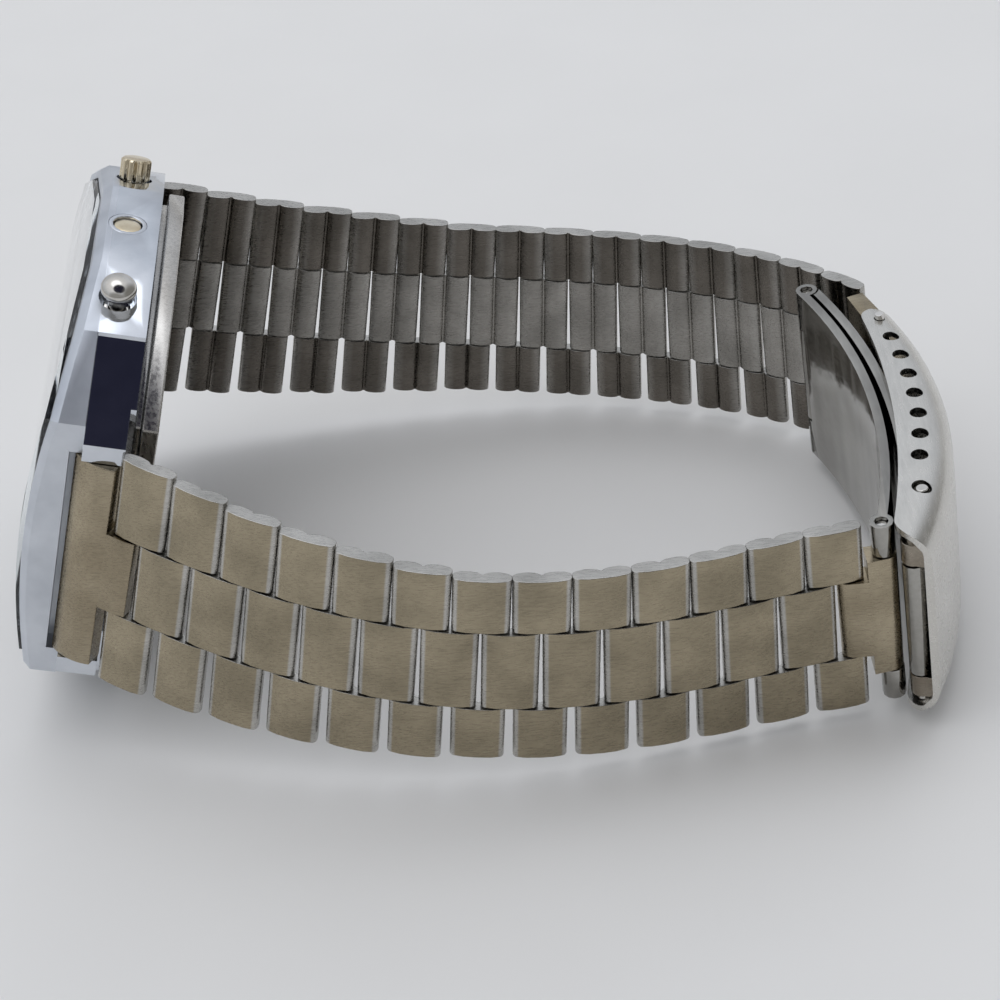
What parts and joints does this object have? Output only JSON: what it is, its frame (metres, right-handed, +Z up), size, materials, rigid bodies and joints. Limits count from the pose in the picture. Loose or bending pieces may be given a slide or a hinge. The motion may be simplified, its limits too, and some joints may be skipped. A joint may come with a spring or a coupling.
{
  "type": "digital wristwatch",
  "caption": "Digital wristwatch with a many-sided steel case, push buttons on one side and a folded-link bracelet with a fold-over clasp, lying on its side, clasp shut.",
  "frame": {"origin": "middle of the floor under the whole watch, which lies on its side", "axes": "+X from the case to the clasp, +Y from the 6 o'clock band half to the 12 o'clock half, +Z up, across the band"},
  "size_m": [0.0726, 0.0482, 0.0347],
  "materials": {
    "polished_steel": "polished",
    "satin_steel": "satin",
    "link_steel": "brushed along the band",
    "crystal_glass": "polished",
    "black_rubber": "matt",
    "gold_plate": "polished",
    "dial_black": "matt",
    "display_grey": "satin",
    "board_green": "matt",
    "holder_plastic": "matt",
    "cell_steel": "satin",
    "pin_steel": "polished"
  },
  "bodies": {
    "case": {"near_end_link": "link_steel", "far_end_link": "link_steel", "case_body": "polished_steel", "case_back": "satin_steel", "back_gasket": "black_rubber", "crystal": "crystal_glass", "crystal_gasket": "black_rubber", "dial_frame": "dial_black", "display_panel": "display_grey", "circuit_board": "board_green", "button_cell": "cell_steel", "battery_strap": "cell_steel", "module_holder": "holder_plastic", "flush_ring": "polished_steel", "button_springs": "pin_steel", "near_spring_bar": "pin_steel", "far_spring_bar": "pin_steel"},
    "near_band_1": {"near_links_01": "link_steel", "near_links_02": "link_steel", "near_links_03": "link_steel", "near_links_04": "link_steel", "near_links_05": "link_steel"},
    "near_band_2": {"near_links_06": "link_steel", "near_links_07": "link_steel", "near_links_08": "link_steel", "near_links_09": "link_steel", "near_links_10": "link_steel"},
    "near_band_3": {"near_links_11": "link_steel", "near_links_12": "link_steel", "near_links_13": "link_steel", "near_clasp_link": "link_steel"},
    "far_band_1": {"far_links_01": "link_steel", "far_links_02": "link_steel", "far_links_03": "link_steel", "far_links_04": "link_steel", "far_links_05": "link_steel"},
    "far_band_2": {"far_links_06": "link_steel", "far_links_07": "link_steel", "far_links_08": "link_steel", "far_links_09": "link_steel", "far_links_10": "link_steel"},
    "far_band_3": {"far_links_11": "link_steel", "far_links_12": "link_steel", "far_links_13": "link_steel", "far_links_14": "link_steel", "far_links_15": "link_steel"},
    "far_band_4": {"far_clasp_link": "link_steel"},
    "inner_blade": {"inner_blade": "satin_steel", "near_hinge_pin": "pin_steel", "fold_hinge_pin": "pin_steel"},
    "middle_blade": {"middle_blade": "satin_steel"},
    "clasp_cover": {"clasp_cover": "satin_steel", "latch_bar": "pin_steel", "clasp_spring_bar": "pin_steel", "cover_hinge_pin": "pin_steel"},
    "near_pusher": {"near_pusher": "polished_steel"},
    "far_pusher": {"far_pusher": "gold_plate"},
    "flush_button": {"flush_button": "gold_plate"}
  },
  "joints": [
    {"name": "near_band_1_hinge", "type": "hinge", "parent": "case", "child": "near_band_1", "pos_m": [-0.02467, -0.0163, 0.01599], "axis": [-0.2939, 0, -0.9558], "range_deg": [-20, 20]},
    {"name": "near_band_2_hinge", "type": "hinge", "parent": "near_band_1", "child": "near_band_2", "pos_m": [-0.00502, -0.02268, 0.01136], "axis": [-0.1642, 0, -0.9864], "range_deg": [-20, 20]},
    {"name": "near_band_3_hinge", "type": "hinge", "parent": "near_band_2", "child": "near_band_3", "pos_m": [0.01595, -0.02132, 0.00935], "axis": [-0.0258, 0, -0.9997], "range_deg": [-20, 20]},
    {"name": "inner_blade_hinge", "type": "hinge", "parent": "near_band_3", "child": "inner_blade", "pos_m": [0.02897, -0.01921, 0.00957], "axis": [0.0602, 0, -0.9982], "range_deg": [-25, 40]},
    {"name": "middle_blade_hinge", "type": "hinge", "parent": "inner_blade", "child": "middle_blade", "pos_m": [0.02709, 0.01137, 0.00946], "axis": [0.0602, 0, -0.9982], "range_deg": [-125, 0]},
    {"name": "cover_hinge", "type": "hinge", "parent": "middle_blade", "child": "clasp_cover", "pos_m": [0.03088, -0.02041, 0.00969], "axis": [0.0602, 0, -0.9982], "range_deg": [0, 110]},
    {"name": "far_band_1_hinge", "type": "hinge", "parent": "case", "child": "far_band_1", "pos_m": [-0.02676, 0.02105, 0.01665], "axis": [-0.3077, 0, -0.9515], "range_deg": [-20, 20]},
    {"name": "far_band_2_hinge", "type": "hinge", "parent": "far_band_1", "child": "far_band_2", "pos_m": [-0.00625, 0.02306, 0.01157], "axis": [-0.1723, 0, -0.985], "range_deg": [-20, 20]},
    {"name": "far_band_3_hinge", "type": "hinge", "parent": "far_band_2", "child": "far_band_3", "pos_m": [0.01467, 0.02097, 0.00939], "axis": [-0.0342, 0, -0.9994], "range_deg": [-20, 20]},
    {"name": "far_band_4_hinge", "type": "hinge", "parent": "far_band_3", "child": "far_band_4", "pos_m": [0.03063, 0.01091, 0.00968], "axis": [0.0711, 0, -0.9975], "range_deg": [-25, 25]},
    {"name": "near_pusher_slide", "type": "slide", "parent": "case", "child": "near_pusher", "axis": [-0.3036, 0.2936, -0.9065], "range_m": [0, 0.0008], "stiffness_N_per_m": 300, "springref_m": -0.0005},
    {"name": "far_pusher_slide", "type": "slide", "parent": "case", "child": "far_pusher", "axis": [-0.2713, -0.2936, -0.9166], "range_m": [0, 0.0008], "stiffness_N_per_m": 300, "springref_m": -0.0005},
    {"name": "flush_button_slide", "type": "slide", "parent": "case", "child": "flush_button", "axis": [-0.3007, 0, -0.9537], "range_m": [0, 0.0005], "stiffness_N_per_m": 300, "springref_m": -0.0005}
  ],
  "couplings": [
    {"joint": "near_band_1_hinge", "follows": "cover_hinge", "ratio": -0.032727},
    {"joint": "near_band_2_hinge", "follows": "cover_hinge", "ratio": -0.032727},
    {"joint": "near_band_3_hinge", "follows": "cover_hinge", "ratio": -0.081818},
    {"joint": "inner_blade_hinge", "follows": "cover_hinge", "ratio": -0.21818},
    {"joint": "middle_blade_hinge", "follows": "cover_hinge", "ratio": -0.59091},
    {"joint": "far_band_1_hinge", "follows": "cover_hinge", "ratio": -0.16364},
    {"joint": "far_band_2_hinge", "follows": "cover_hinge", "ratio": -0.16364},
    {"joint": "far_band_3_hinge", "follows": "cover_hinge", "ratio": -0.16364},
    {"joint": "far_band_4_hinge", "follows": "cover_hinge", "ratio": -0.2}
  ]
}
